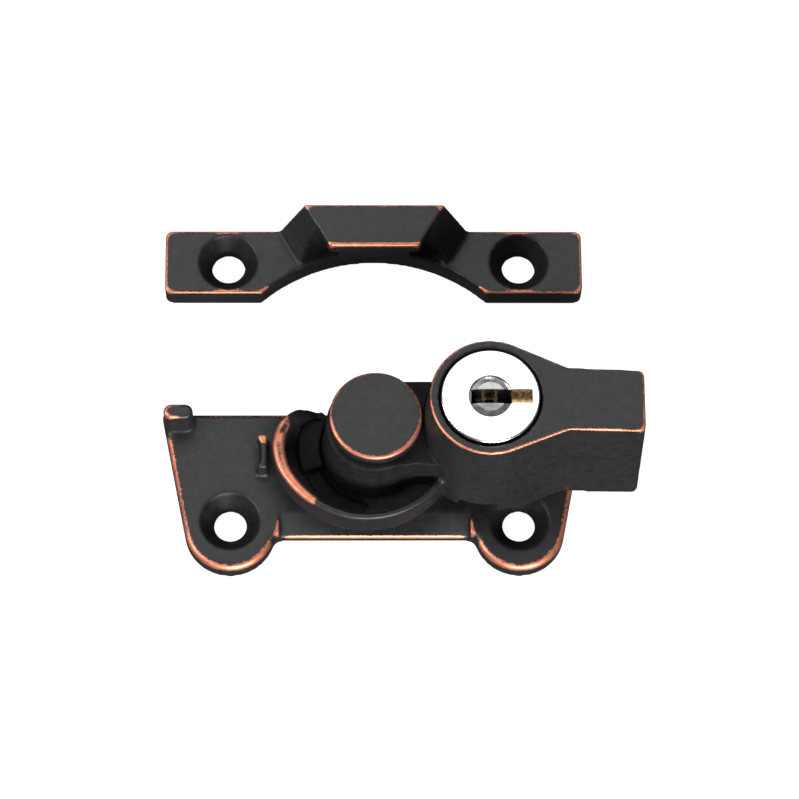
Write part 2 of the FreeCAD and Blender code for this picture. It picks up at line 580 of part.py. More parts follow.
def make_lever_casting():
    body = start_body("lever_casting", counts=False)
    outline = add_sketch(body, "lever_outline", "XY_Plane", SIZE["lever_top"])
    lever_outline(outline)
    height = SIZE["lever_top"] - SIZE["lever_low"]
    pad(body, outline, "housing_and_grip", height, SIZE["draft"], down=True)
    doc.recompute()
    end_trim = add_sketch(body, "grip_end_trim_outline", "XZ_Plane")
    add_polygon(end_trim, [
        (SIZE["grip_end"], SIZE["lever_top"]), (SIZE["grip_foot"], SIZE["lever_low"]),
        (SIZE["grip_foot"], ZERO), (SIZE["grip_foot"] + 5, ZERO),
        (SIZE["grip_foot"] + 5, SIZE["lever_top"]),
    ])
    trim = body.newObject("PartDesign::Pocket", "grip_end_trim")
    trim.Profile = end_trim
    trim.Midplane = True
    bind(trim, "Length", SIZE["grip_end"])

    def grip_corner(edge, middle):
        at_end = NUMBER["grip_end"] - 0.1 < middle.x < NUMBER["grip_foot"] + 0.1
        return at_end and edge.Length > NUMBER["lever_top"] / 2

    round_edges(body, "grip_corners", SIZE["grip_round"], grip_corner)
    doc.recompute()
    over_base = add_sketch(body, "over_base_outline")
    add_circle(over_base, ZERO, ZERO, SIZE["fin_way_in"] + 0.01)
    pocket(body, over_base, "over_base", SIZE["inner_low"], up=True)
    fin_way = add_sketch(body, "fin_way_outline")
    add_circle(fin_way, ZERO, ZERO, SIZE["fin_way_in"])
    add_circle(fin_way, ZERO, ZERO, SIZE["fin_way_out"])
    pocket(body, fin_way, "fin_way", SIZE["fin_way_low"], up=True)
    hub = add_sketch(body, "hub_outline", "XY_Plane", SIZE["hub_low"])
    add_circle(hub, ZERO, ZERO, SIZE["hub_radius"])
    pad(body, hub, "hub", SIZE["hub_top"] - SIZE["hub_low"], -SIZE["draft"])
    web = add_sketch(body, "web_outline", "XY_Plane", SIZE["inner_low"])
    web_end = SIZE["fin_way_in"] - SIZE["web_overlap"]
    add_polygon(web, [
        (ZERO, SIZE["web_back"]), (ZERO, SIZE["web_front"]), (SIZE["web_waist_at"], SIZE["web_waist"]),
        (web_end, SIZE["web_shoulder"]), (web_end, SIZE["web_back"]),
    ])
    pad(body, web, "web", SIZE["web_top"] - SIZE["inner_low"])
    ring_piece(body, "rest_lug", SIZE["rest_inner"], SIZE["rest_outer"], 132, 150.5,
               SIZE["rest_low"], SIZE["step_top"])
    doc.recompute()
    lock_bore = add_sketch(body, "lock_bore_outline")
    add_circle(lock_bore, SIZE["arm"], ZERO, SIZE["barrel_radius"] + 0.02)
    pocket(body, lock_bore, "lock_bore", SIZE["lever_top"] + 1, up=True)
    face_well = add_sketch(body, "face_well_outline", "XY_Plane", SIZE["lever_top"])
    add_circle(face_well, SIZE["arm"], ZERO, SIZE["face_radius"] + SIZE["well_gap"])
    pocket(body, face_well, "face_well", SIZE["lever_top"] - SIZE["head_low"])
    pin_bore = add_sketch(body, "lever_pin_bore_outline")
    add_circle(pin_bore, ZERO, ZERO, SIZE["pin_radius"] + SIZE["pin_gap"])
    pocket(body, pin_bore, "lever_pin_bore", SIZE["hub_top"] + 1, up=True)
    cap_well = add_sketch(body, "cap_well_outline", "XY_Plane", SIZE["web_top"] + 1)
    add_circle(cap_well, ZERO, ZERO, SIZE["well_radius"])
    pocket(body, cap_well, "cap_well", SIZE["web_top"] + 1 - SIZE["hub_well"])
    dowel_bore = add_sketch(body, "dowel_bore_outline")
    add_circle(dowel_bore, SIZE["arm"] + SIZE["barrel_radius"], ZERO, SIZE["dowel_radius"])
    pocket(body, dowel_bore, "dowel_bore", SIZE["dowel_top"], up=True)
    hollow = add_sketch(body, "grip_hollow_outline")
    middle = (SIZE["grip_back"] + SIZE["grip_front_end"]) / 2
    add_rectangle(hollow, SIZE["grip_start"] - 1.3, SIZE["grip_end"] - SIZE["grip_wall"],
                  middle - SIZE["hollow_half"], middle + SIZE["hollow_half"])
    pocket(body, hollow, "grip_hollow", SIZE["lever_top"] - SIZE["grip_wall"], up=True)
    raised = add_sketch(body, "keeper_way_outline")
    add_rectangle(raised, SIZE["arm"], SIZE["grip_foot"] + 1, SIZE["keeper_way"], SIZE["keeper_way"] * 3)
    pocket(body, raised, "keeper_way", SIZE["keeper_way_low"], up=True)
    front_way = add_sketch(body, "front_way_outline")
    add_rectangle(front_way, SIZE["arm"], SIZE["grip_start"], SIZE["front_way"] * 2, SIZE["front_way"])
    pocket(body, front_way, "front_way", SIZE["front_way_low"], up=True)
    return body


WALL_TIP = [
    (144, 8.4), (149, 9.1), (152, 10.1), (156, 11.15), (161, 11.9), (166, 12.5), (170, 13.05),
    (174, 13.5), (179, 13.9), (184, 14.15), (190, 14.3), (200, 14.35),
]


def wall_outer(angle):
    """Outer radius of the crescent cam wall: it hooks in at its tip and winds in towards its root."""
    for (low, near), (high, far) in zip(WALL_TIP, WALL_TIP[1:]):
        if angle <= high:
            return near + (far - near) * (angle - low) / (high - low)
    return 11.8 + 2.55 * (max(0, 320 - angle) / 120) ** 1.5


def wall_thickness(angle):
    """The wall is thick at its tip and thinner where it draws the keeper in."""
    blend = min(1, max(0, (angle - 195) / 60))
    return 1.75 - 0.6 * blend


def make_cam_wall():
    """Crescent wall on the lever, which hooks behind the keeper's tongue."""

    def rim(radius_at, low, high, count=30):
        points = []
        for step in range(count + 1):
            angle = low + (high - low) * step / count
            spot = math.radians(angle)
            points.append(V(radius_at(angle) * math.cos(spot), radius_at(angle) * math.sin(spot),
                            NUMBER["wall_low"]))
        curve = Part.BSplineCurve()
        curve.interpolate(points)
        return curve.toShape(), points[0], points[-1]

    tip_angle = 146
    root_angle = 334
    outer, outer_tip, outer_root = rim(wall_outer, tip_angle, root_angle)
    inner, inner_tip, inner_root = rim(lambda a: wall_outer(a) - wall_thickness(a), tip_angle, root_angle)
    ends = [Part.makeLine(outer_tip, inner_tip), Part.makeLine(outer_root, inner_root)]
    plan = Part.Face(Part.Wire(Part.__sortEdges__([outer, inner] + ends)))
    wall = plan.extrude(V(0, 0, NUMBER["wall_top"] - NUMBER["wall_low"]))
    crest = [edge for edge in wall.Edges
             if edge.Length > 20 and abs(edge.BoundBox.ZMin - NUMBER["wall_top"]) < 0.01]
    wall = wall.makeFillet(NUMBER["crest_round"], crest)
    # The tip ends in line with the base's back edge and its top slopes down to it. Where it is
    # higher than the tongue's lower end it is also trimmed inside, so that it passes the tongue.
    behind = Part.makeBox(40, 20, 20, V(-20, NUMBER["wall_end"], 0))
    passing = Part.makeCylinder(NUMBER["tongue_back"], 20, V(0, 0, NUMBER["tongue_low"]))
    profile = [
        (-14.2, 10.3), (-13.4, 10.1), (-12.1, 9.75), (-11.1, 9.1), (-10.2, 8.1), (-9.1, 6.8), (-8.0, 5.6),
        (-5.0, 5.2), (-5.0, 12.0), (-14.2, 12.0),
    ]
    above = [V(across, 0, height) for across, height in profile]
    slope = Part.Face(Part.makePolygon(above + above[:1])).extrude(V(0, 12, 0))
    thing = doc.addObject("Part::Feature", "cam_wall")
    thing.Shape = wall.cut(behind).cut(passing).cut(slope)
    return named(thing, "cam_wall", counts=False)


def make_cam_lever():
    casting = make_lever_casting()
    wall = make_cam_wall()
    lever = doc.addObject("Part::MultiFuse", "cam_lever")
    lever.Shapes = [casting, wall]
    lever.Refine = False
    named(lever, "cam_lever")


# ---------------------------------------------------------------------------- key cylinder

def make_lock_barrel():
    body = start_body("lock_barrel")
    bore = SIZE["plug_radius"] + SIZE["plug_gap"]
    revolve(body, "barrel", [
        (bore, SIZE["barrel_low"]), (SIZE["barrel_radius"], SIZE["barrel_low"]),
        (SIZE["barrel_radius"], SIZE["head_low"]), (SIZE["head_radius"], SIZE["head_low"]),
        (SIZE["head_radius"], SIZE["head_top"]), (bore, SIZE["head_top"]),
    ], SIZE["arm"])
    doc.recompute()
    groove = add_sketch(body, "dowel_groove_outline")
    add_circle(groove, SIZE["arm"] + SIZE["barrel_radius"], ZERO, SIZE["dowel_radius"])
    pocket(body, groove, "dowel_groove", SIZE["dowel_top"], up=True)
    # Wafer chambers: one slot across the bore, so that the wafers can drop behind the shear line.
    chamber = add_sketch(body, "chamber_outline", "XY_Plane", SIZE["wafer_first"] - 0.6)
    add_rectangle(chamber, SIZE["arm"] - 1.2, SIZE["arm"] + 1.2,
                  -SIZE["chamber_half"], SIZE["chamber_half"])
    pocket(body, chamber, "chambers", SIZE["wafer_pitch"] * 4 + 1.9, up=True)
    key_slot = add_sketch(body, "barrel_key_slot_outline", "XY_Plane", SIZE["head_top"])
    add_rectangle(key_slot, SIZE["arm"], SIZE["arm"] + SIZE["key_right"],
                  -SIZE["key_wide"] / 2, SIZE["key_wide"] / 2)
    pocket(body, key_slot, "barrel_key_slot", SIZE["head_slot"])


def make_lock_face():
    body = start_body("lock_face")
    bore = SIZE["plug_radius"] + SIZE["plug_gap"]
    lip = SIZE["head_low"] + 0.1
    revolve(body, "cap", [
        (bore, SIZE["head_top"]), (SIZE["head_radius"], SIZE["head_top"]), (SIZE["head_radius"], lip),
        (SIZE["face_radius"], lip), (SIZE["face_radius"], SIZE["face_top"]), (bore, SIZE["face_top"]),
    ], SIZE["arm"])
    round_edges(body, "face_rim", SIZE["face_round"],
                lambda edge, middle: abs(middle.z - NUMBER["face_top"]) < 0.01
                and math.hypot(middle.x - NUMBER["arm"], middle.y) > NUMBER["plug_radius"] + 1)
    doc.recompute()
    slot = add_sketch(body, "face_slot_outline", "XY_Plane", SIZE["face_top"])
    add_rectangle(slot, SIZE["arm"], SIZE["arm"] + SIZE["key_right"],
                  -SIZE["key_wide"] / 2, SIZE["key_wide"] / 2)
    pocket(body, slot, "face_slot", SIZE["face_top"] - SIZE["head_top"])


def make_barrel_pin():
    dowel = doc.addObject("Part::Cylinder", "barrel_pin")
    bind(dowel, "Radius", SIZE["dowel_radius"])
    bind(dowel, "Height", SIZE["dowel_top"] - SIZE["barrel_low"])
    dowel.Placement = FreeCAD.Placement(V(0, 0, 0), FreeCAD.Rotation())
    dowel.setExpression("Placement.Base.x", (SIZE["arm"] + SIZE["barrel_radius"]).text)
    dowel.setExpression("Placement.Base.z", SIZE["barrel_low"].text)
    named(dowel, "barrel_pin")


SPRING_RADIUS = 0.24
SPRING_WIRE = 0.08
SPRING_PITCH = 0.4


def make_lock_plug():
    body = start_body("lock_plug")
    tail = SIZE["cam_top"]
    revolve(body, "plug", [
        (ZERO, tail), (SIZE["tail_radius"], tail), (SIZE["tail_radius"], SIZE["barrel_low"]),
        (SIZE["plug_radius"], SIZE["barrel_low"]), (SIZE["plug_radius"], SIZE["face_top"] - 0.35),
        (SIZE["plug_radius"] * 0.7, SIZE["face_top"] - 0.1), (ZERO, SIZE["face_top"] + 0.05),
    ], SIZE["arm"])
    doc.recompute()
    keyway = add_sketch(body, "keyway_outline", "XY_Plane", SIZE["face_top"] + 1)
    add_rectangle(keyway, SIZE["arm"] + SIZE["key_left"], SIZE["arm"] + SIZE["plug_radius"] + 0.5,
                  -SIZE["key_wide"] / 2, SIZE["key_wide"] / 2)
    pocket(body, keyway, "keyway", SIZE["face_top"] + 1 - SIZE["key_floor"])
    for place in range(5):
        level = SIZE["wafer_first"] + SIZE["wafer_pitch"] * place
        slot = add_sketch(body, f"wafer_slot_{place + 1}_outline", "XY_Plane", level - 0.05)
        left = SIZE["arm"] - SIZE["wafer_half"] - 0.05
        right = SIZE["arm"] + SIZE["wafer_half"] + 0.05
        reach = SIZE["wafer_slot_half"]
        bay = left - SIZE["ear_reach"]
        add_polygon(slot, [
            (left, -reach), (right, -reach), (right, reach), (left, reach),
            (left, SIZE["ear_end"] + 0.2), (bay, SIZE["ear_end"] + 0.2),
            (bay, SIZE["spring_start"]), (left, SIZE["spring_start"]),
        ])
        pocket(body, slot, f"wafer_slot_{place + 1}", SIZE["wafer_thick"] + 0.1, up=True)
    screw_hole = add_sketch(body, "tail_hole_outline")
    add_circle(screw_hole, SIZE["arm"], ZERO, SIZE["tail_bore"])
    pocket(body, screw_hole, "tail_hole", SIZE["barrel_low"] + SIZE["screw_head_high"], up=True)


def make_wafers():
    """Five wafers in the plug, each with its own window height and its own spring."""
    window_shift = (-0.25, 0.2, 0.0, 0.3, -0.1)
    for place, shift in enumerate(window_shift):
        level = SIZE["wafer_first"] + SIZE["wafer_pitch"] * place
        body = start_body(f"wafer_{place + 1}")
        plan = add_sketch(body, f"wafer_{place + 1}_outline", "XY_Plane", level)
        left = SIZE["arm"] - SIZE["wafer_half"]
        right = SIZE["arm"] + SIZE["wafer_half"]
        add_polygon(plan, [
            (left, -SIZE["wafer_back"]), (right, -SIZE["wafer_back"]),
            (right, SIZE["wafer_back"]), (left, SIZE["wafer_back"]),
            (left, SIZE["ear_end"]), (left - SIZE["ear_reach"], SIZE["ear_end"]),
            (left - SIZE["ear_reach"], SIZE["ear_start"]), (left, SIZE["ear_start"]),
        ])
        pad(body, plan, f"wafer_{place + 1}_plate", SIZE["wafer_thick"])
        doc.recompute()
        window = add_sketch(body, f"wafer_{place + 1}_window_outline", "XY_Plane", level)
        add_rectangle(window, SIZE["arm"] - SIZE["window_half"], SIZE["arm"] + SIZE["window_half"],
                      -SIZE["window_high"] + shift, SIZE["window_high"] + shift)
        pocket(body, window, f"wafer_{place + 1}_window", SIZE["wafer_thick"], up=True)


def make_wafer_springs():
    """A coil spring in each wafer's bay, between the plug and the wafer's ear."""
    length = NUMBER["ear_start"] - NUMBER["spring_start"] - 2 * SPRING_WIRE
    for place in range(5):
        level = NUMBER["wafer_first"] + NUMBER["wafer_pitch"] * place + NUMBER["wafer_thick"] / 2
        helix = doc.addObject("Part::Helix", f"spring_line_{place + 1}")
        helix.Pitch = SPRING_PITCH
        helix.Height = length
        helix.Radius = SPRING_RADIUS
        wire = doc.addObject("Part::Circle", f"spring_wire_{place + 1}")
        wire.Radius = SPRING_WIRE
        wire.Placement = FreeCAD.Placement(V(SPRING_RADIUS, 0, 0), FreeCAD.Rotation(V(1, 0, 0), 90))
        coil = doc.addObject("Part::Sweep", f"wafer_spring_{place + 1}")
        coil.Sections = [wire]
        coil.Spine = (helix, ["Edge1"])
        coil.Solid = True
        coil.Frenet = True
        centre_x = NUMBER["arm"] - NUMBER["wafer_half"] - NUMBER["ear_reach"] / 2 - 0.05
        start = V(centre_x, NUMBER["spring_start"] + SPRING_WIRE, level)
        coil.Placement = FreeCAD.Placement(start, FreeCAD.Rotation(V(1, 0, 0), -90))
        named(coil, f"wafer_spring_{place + 1}")


def make_plug_clip():
    body = start_body("plug_clip")
    plan = add_sketch(body, "clip_outline", "XY_Plane", SIZE["cam_top"] + 0.05)
    gap = 26
    inner = add_arc(plan, SIZE["arm"], ZERO, SIZE["clip_inner"], gap, 360 - gap)
    outer = add_arc(plan, SIZE["arm"], ZERO, SIZE["clip_outer"], gap, 360 - gap)
    for end in (1, 2):
        side = 1 if end == 1 else -1
        spot = math.radians(gap) * side
        toward = V(math.cos(spot), math.sin(spot), 0)
        start = V(NUMBER["arm"], 0, 0) + toward * NUMBER["clip_inner"]
        stop = V(NUMBER["arm"], 0, 0) + toward * NUMBER["clip_outer"]
        line = plan.addGeometry(Part.LineSegment(start, stop), False)
        plan.addConstraint(Sketcher.Constraint("Coincident", line, 1, inner, end))
        plan.addConstraint(Sketcher.Constraint("Coincident", line, 2, outer, end))
    pad(body, plan, "clip", SIZE["barrel_low"] - SIZE["cam_top"] - 0.1)


def make_locking_cam():
    body = start_body("locking_cam")
    disc = add_sketch(body, "cam_disc_outline", "XY_Plane", SIZE["cam_low"])
    add_circle(disc, SIZE["arm"], ZERO, SIZE["cam_radius"])
    pad(body, disc, "cam_disc", SIZE["cam_top"] - SIZE["cam_low"])
    arm = add_sketch(body, "cam_arm_outline", "XY_Plane", SIZE["cam_low"])
    add_rectangle(arm, SIZE["arm"], SIZE["arm"] + SIZE["lug_out"], -SIZE["lug_half"], SIZE["lug_half"])
    pad(body, arm, "cam_arm", SIZE["cam_top"] - SIZE["cam_low"])
    lug = add_sketch(body, "lug_outline", "XY_Plane", SIZE["lug_low"])
    add_rectangle(lug, SIZE["arm"] + SIZE["lug_in"], SIZE["arm"] + SIZE["lug_out"],
                  -SIZE["lug_half"], SIZE["lug_half"])
    pad(body, lug, "lug", SIZE["cam_top"] - SIZE["lug_low"])
    doc.recompute()
    hole = add_sketch(body, "cam_hole_outline")
    add_circle(hole, SIZE["arm"], ZERO, SIZE["tail_bore"])
    pocket(body, hole, "cam_hole", SIZE["cam_top"] + 1, up=True)
    head = add_sketch(body, "cam_screw_seat_outline")
    add_circle(head, SIZE["arm"], ZERO, SIZE["screw_head_radius"])
    pocket(body, head, "cam_screw_seat", SIZE["cam_low"] + SIZE["screw_head_high"], up=True)


def make_cam_screw():
    body = start_body("cam_screw")
    head_low = SIZE["cam_low"] + 0.05
    head_top = SIZE["cam_low"] + SIZE["screw_head_high"]
    tip = SIZE["barrel_low"] + SIZE["screw_head_high"]
    head = SIZE["screw_head_radius"]
    shank = SIZE["tail_bore"]
    revolve(body, "screw", [
        (ZERO, head_low), (head, head_low), (head, head_top), (shank, head_top), (shank, tip), (ZERO, tip),
    ], SIZE["arm"])
    doc.recompute()
    slot = add_sketch(body, "screw_slot_outline")
    add_rectangle(slot, SIZE["arm"] - head - 0.2, SIZE["arm"] + head + 0.2,
                  -SIZE["screw_slot_half"], SIZE["screw_slot_half"])
    pocket(body, slot, "screw_slot", SIZE["cam_low"] + 0.45, up=True)


# ---------------------------------------------------------------------------- keeper

def faceted_solid(corners, faces):
    """A closed solid from named corners and lists of corner names."""
    sides = []
    for names in faces:
        loop = [corners[name] for name in names]
        sides.append(Part.Face(Part.makePolygon(loop + loop[:1])))
    solid = Part.makeSolid(Part.makeShell(sides))
    if solid.Volume < 0:
        solid.reverse()
    return solid


def make_keeper():
    front = NUMBER["keeper_front"]
    back = front + NUMBER["keeper_deep"]
    pivot = NUMBER["closing"]
    plate = start_body("keeper_plate", counts=False)
    outline = add_sketch(plate, "keeper_outline")
    half = SIZE["keeper_half"]
    add_rectangle(outline, -half, half, SIZE["keeper_front"], SIZE["keeper_front"] + SIZE["keeper_deep"])
    pad(plate, outline, "ears", SIZE["keeper_ear"])

    def ear_corner(edge, middle):
        upright = abs(middle.z - NUMBER["keeper_ear"] / 2) < 0.01
        return upright and abs(abs(middle.x) - NUMBER["keeper_half"]) < 0.01

    round_edges(plate, "ear_corners", SIZE["keeper_round"], ear_corner)
    doc.recompute()
    screw_holes(plate, "keeper_hole", SIZE["keeper_hole_half"],
                SIZE["keeper_front"] + SIZE["keeper_deep"] / 2, SIZE["keeper_ear"],
                SIZE["keeper_bore"], SIZE["screw_head"])
    # Bridge: a wedge with a flat top, whose sides slope down to the ears.
    low = NUMBER["keeper_ear"] - 0.5
    lip = front + NUMBER["lip_depth"]
    top = NUMBER["bridge_top"]
    slope = (NUMBER["foot_half"] - NUMBER["bridge_half"]) / (top - NUMBER["keeper_ear"])
    foot_back = NUMBER["foot_half"] + slope * (NUMBER["keeper_ear"] - low)
    foot_lip = foot_back - NUMBER["bridge_half"] + NUMBER["lip_half"]
    corners = {}
    for side, mark in ((-1, "left"), (1, "right")):
        corners[f"back_{mark}"] = V(side * foot_back, back, low)
        corners[f"front_{mark}"] = V(side * foot_lip, lip, low)
        corners[f"top_back_{mark}"] = V(side * NUMBER["bridge_half"], back, top)
        corners[f"top_front_{mark}"] = V(side * NUMBER["lip_half"], lip, top)
    wedge = faceted_solid(corners, [
        ("back_left", "back_right", "front_right", "front_left"),
        ("top_back_left", "top_front_left", "top_front_right", "top_back_right"),
        ("back_left", "top_back_left", "top_back_right", "back_right"),
        ("front_left", "front_right", "top_front_right", "top_front_left"),
        ("back_left", "front_left", "top_front_left", "top_back_left"),
        ("back_right", "top_back_right", "top_front_right", "front_right"),
    ])
    # Way for the cam wall, a cone about the pivot where it stands when the sashes are closed.
    # It is open upwards beside the roof, so that it shows as a scoop in each ramp.
    rise = NUMBER["ceiling"] - NUMBER["keeper_ear"]
    way = Part.makeCone(NUMBER["way_low"], NUMBER["way_high"], rise, V(0, pivot, NUMBER["keeper_ear"]))
    above = Part.makeCylinder(NUMBER["way_high"], top, V(0, pivot, NUMBER["ceiling"]))
    roof_corners = [corners[name] for name in
                    ("top_back_left", "top_front_left", "top_front_right", "top_back_right")]
    roof = Part.Face(Part.makePolygon(roof_corners + roof_corners[:1])).extrude(V(0, 0, -top))
    bridge = wedge.cut(way).cut(above.cut(roof))
    outline_left = [
        (-NUMBER["lip_half"], top), (-NUMBER["lip_half"] + 0.2, 12.4), (-5.2, 9.5), (-4.0, 7.6),
        (-NUMBER["tongue_half"], NUMBER["tongue_low"]),
    ]
    outline_right = [(-across, height) for across, height in reversed(outline_left)]
    tongue_corners = [V(across, lip, height) for across, height in outline_left + outline_right]
    tongue = Part.Face(Part.makePolygon(tongue_corners + tongue_corners[:1])).extrude(V(0, 3, 0))
    inside = Part.makeCylinder(NUMBER["tongue_back"], top, V(0, pivot, 0))
    tongue = tongue.common(inside)
    shape = bridge.fuse(tongue)
    thing = doc.addObject("Part::Feature", "keeper_bridge")
    thing.Shape = shape
    named(thing, "keeper_bridge", counts=False)
    union = doc.addObject("Part::MultiFuse", "keeper_union")
    union.Shapes = [plate, thing]
    named(union, "keeper_union", counts=False)
    # Arched front edge.
    centre = front + math.sqrt(NUMBER["arch_radius"] ** 2 - NUMBER["arch_half"] ** 2) * -1
    drill = doc.addObject("Part::Cylinder", "arch_cut")
    bind(drill, "Radius", SIZE["arch_radius"])
    bind(drill, "Height", SIZE["keeper_ear"] + 0.001)
    drill.Placement = FreeCAD.Placement(V(0, centre, 0), FreeCAD.Rotation())
    named(drill, "arch_cut", counts=False)
    keeper = doc.addObject("Part::Cut", "keeper")
    keeper.Base = union
    keeper.Tool = drill
    named(keeper, "keeper")


make_base_plate()
make_pivot_pin()
make_pivot_knob()
make_washers()
make_cam_lever()
make_lock_barrel()
make_lock_face()
make_barrel_pin()
make_lock_plug()
make_wafers()
make_wafer_springs()
make_plug_clip()
make_locking_cam()
make_cam_screw()
make_keeper()
doc.recompute()

for thing in doc.Objects:
    if "Invalid" in thing.State or "Error" in thing.State:
        raise RuntimeError(f"{thing.Label} failed: {thing.State}")
for part in sub_parts:
    if part.Shape.isNull() or not part.Shape.isValid():
        raise RuntimeError(f"{part.Label} has no valid shape")

os.makedirs("parts", exist_ok=True)
for part in sub_parts:
    part.Shape.exportStep(f"parts/{part.Label}.step")
    print(part.Label, len(part.Shape.Solids), round(part.Shape.Volume, 1))
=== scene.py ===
import math

import bmesh
import bpy
import numpy as np
from mathutils import Matrix, Vector


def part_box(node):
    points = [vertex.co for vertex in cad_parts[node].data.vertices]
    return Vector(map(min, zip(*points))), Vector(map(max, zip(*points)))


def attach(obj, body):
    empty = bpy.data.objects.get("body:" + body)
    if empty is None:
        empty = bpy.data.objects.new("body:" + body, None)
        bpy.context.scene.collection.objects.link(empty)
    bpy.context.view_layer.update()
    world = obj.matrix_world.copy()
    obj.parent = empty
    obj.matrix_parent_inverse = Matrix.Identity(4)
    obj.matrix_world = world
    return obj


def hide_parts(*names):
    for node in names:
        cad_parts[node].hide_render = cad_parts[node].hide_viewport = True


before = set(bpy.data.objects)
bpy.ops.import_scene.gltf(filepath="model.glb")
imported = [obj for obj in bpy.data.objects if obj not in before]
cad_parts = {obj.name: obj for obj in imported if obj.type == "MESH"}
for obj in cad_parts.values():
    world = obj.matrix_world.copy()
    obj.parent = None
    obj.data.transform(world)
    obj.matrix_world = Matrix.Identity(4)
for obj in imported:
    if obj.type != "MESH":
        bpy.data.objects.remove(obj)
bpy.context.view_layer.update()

MM = 0.001

# ---------------------------------------------------------------- sizes of the lock, mm

HOUSING_X = 15.3
HOUSING_RADIUS = 8.15
LEVER_TOP = 24.2
GRIP_START_X = 25.8
WALL_TOP = 10.2
WEB_TOP = 13.9
WALL_INNER_RADIUS = 9.5
PLATE_TOP = 3.2
EAR_X = 20.0
EAR_Y = -11.1
SCREW_Y = -10.3
POST_X = -27.2
POST_Y = 3.95
POST_TOP = 8.4
FIN_BACK_Y = 1.2
FIN_TOP = 6.5
KEEPER_FRONT_Y = 23.4
KEEPER_BACK_Y = 32.9
KEEPER_HALF = 29.5
KEEPER_EAR_TOP = 3.9
KEEPER_SCREW_X = 20.6
KEEPER_SCREW_Y = 28.15
BRIDGE_TOP = 13.3
LIP_Y = 26.65
LIP_HALF = 6.2
FOOT_HALF = 13.4
KNOB_TOP = 17.2
KNOB_UNDER = 15.2
COUNTERSINK_RADIUS = 3.9
RING_RADIUS = 13.2
RECESS_Y = -10.5
RECESS_HALF = 14
FIN_LEFT_X = -17
FIN_RIGHT_X = -14
KEEPER_EAR_INNER_X = 15.0
SCOOP_HALF = 9.5
SCOOP_FRONT_Y = 20
SCOOP_BACK_Y = 29.2
SCOOP_TOP = 12.6

# ---------------------------------------------------------------- camera and stage

CAMERA_ELEVATION = math.radians(69.3)
CAMERA_ASIDE = -0.0193
CAMERA_DISTANCE = 0.520
CAMERA_TARGET = Vector((0.0035922, 0.0087829, 0.0))
CAMERA_LENS = 166.35


def make_camera():
    """Looks down on the lock from the room side, a little left of straight in front."""
    data = bpy.data.cameras.new("camera")
    data.lens = CAMERA_LENS
    data.sensor_width = 36.0
    data.clip_start = 0.05
    camera = bpy.data.objects.new("camera", data)
    back = Vector((CAMERA_ASIDE, -math.cos(CAMERA_ELEVATION), math.sin(CAMERA_ELEVATION))).normalized()
    across = Vector((1, 0, 0))
    right = (across - back * across.dot(back)).normalized()
    turn = Matrix((right, back.cross(right), back)).transposed()
    camera.location = CAMERA_TARGET + back * CAMERA_DISTANCE
    camera.rotation_euler = turn.to_euler()
    bpy.context.scene.collection.objects.link(camera)
    bpy.context.scene.camera = camera


def add_softbox(name, place, size, power):
    data = bpy.data.lights.new(name, "AREA")
    data.shape = "RECTANGLE"
    data.size, data.size_y = size
    data.energy = power
    light = bpy.data.objects.new(name, data)
    light.location = place
    light.rotation_euler = (CAMERA_TARGET - Vector(place)).to_track_quat("-Z", "Y").to_euler()
    bpy.context.scene.collection.objects.link(light)


def make_stage():
    """A white light table in a room that is bright overhead and dim near the table."""
    world = bpy.data.worlds.new("studio")
    world.use_nodes = True
    nodes, links = world.node_tree.nodes, world.node_tree.links
    background = nodes["Background"]
    place = nodes.new("ShaderNodeTexCoord")
    split = nodes.new("ShaderNodeSeparateXYZ")
    ramp = nodes.new("ShaderNodeValToRGB")
    links.new(place.outputs["Generated"], split.inputs["Vector"])
    links.new(split.outputs["Z"], ramp.inputs["Fac"])
    links.new(ramp.outputs["Color"], background.inputs["Color"])
    ramp.color_ramp.interpolation = "EASE"
    ramp.color_ramp.elements[0].position = 0.10
    ramp.color_ramp.elements[0].color = (0.25, 0.25, 0.25, 1)
    ramp.color_ramp.elements[1].position = 0.95
    ramp.color_ramp.elements[1].color = (1, 1, 1, 1)
    background.inputs["Strength"].default_value = 0.28
    bpy.context.scene.world = world
    add_softbox("back_softbox", (0.0, 0.40, 0.75), (0.7, 0.45), 1.9)
    add_softbox("left_softbox", (-0.6, -0.1, 0.5), (0.4, 0.4), 4.0)
    add_softbox("front_softbox", (0.15, -0.7, 0.25), (0.5, 0.3), 10.0)
    bpy.ops.mesh.primitive_plane_add(size=3.0, location=(0, 0, -0.0002))
    floor = bpy.context.object
    floor.name = "floor"
    floor.visible_glossy = False
    floor.visible_diffuse = False
    paper = bpy.data.materials.new("white_acrylic")
    paper.use_nodes = True
    shader = paper.node_tree.nodes["Principled BSDF"]
    shader.inputs["Base Color"].default_value = (0.2, 0.2, 0.2, 1)
    shader.inputs["Roughness"].default_value = 0.8
    shader.inputs["Emission Color"].default_value = (1, 1, 1, 1)
    shader.inputs["Emission Strength"].default_value = 0.95
    floor.data.materials.append(paper)
    bpy.context.scene.view_settings.view_transform = "Standard"


# ---------------------------------------------------------------- castings

def smooth_points(points, edges, steps, pull):
    """Each point moves towards the mean of its neighbours."""
    count = len(points)
    degree = np.bincount(edges.ravel(), minlength=count).astype(float)[:, None]
    for _ in range(steps):
        total = np.zeros_like(points)
        for axis in range(3):
            total[:, axis] = (
                np.bincount(edges[:, 0], weights=points[edges[:, 1], axis], minlength=count)
                + np.bincount(edges[:, 1], weights=points[edges[:, 0], axis], minlength=count)
            )
        points = points + pull * (total / degree - points)
    return points


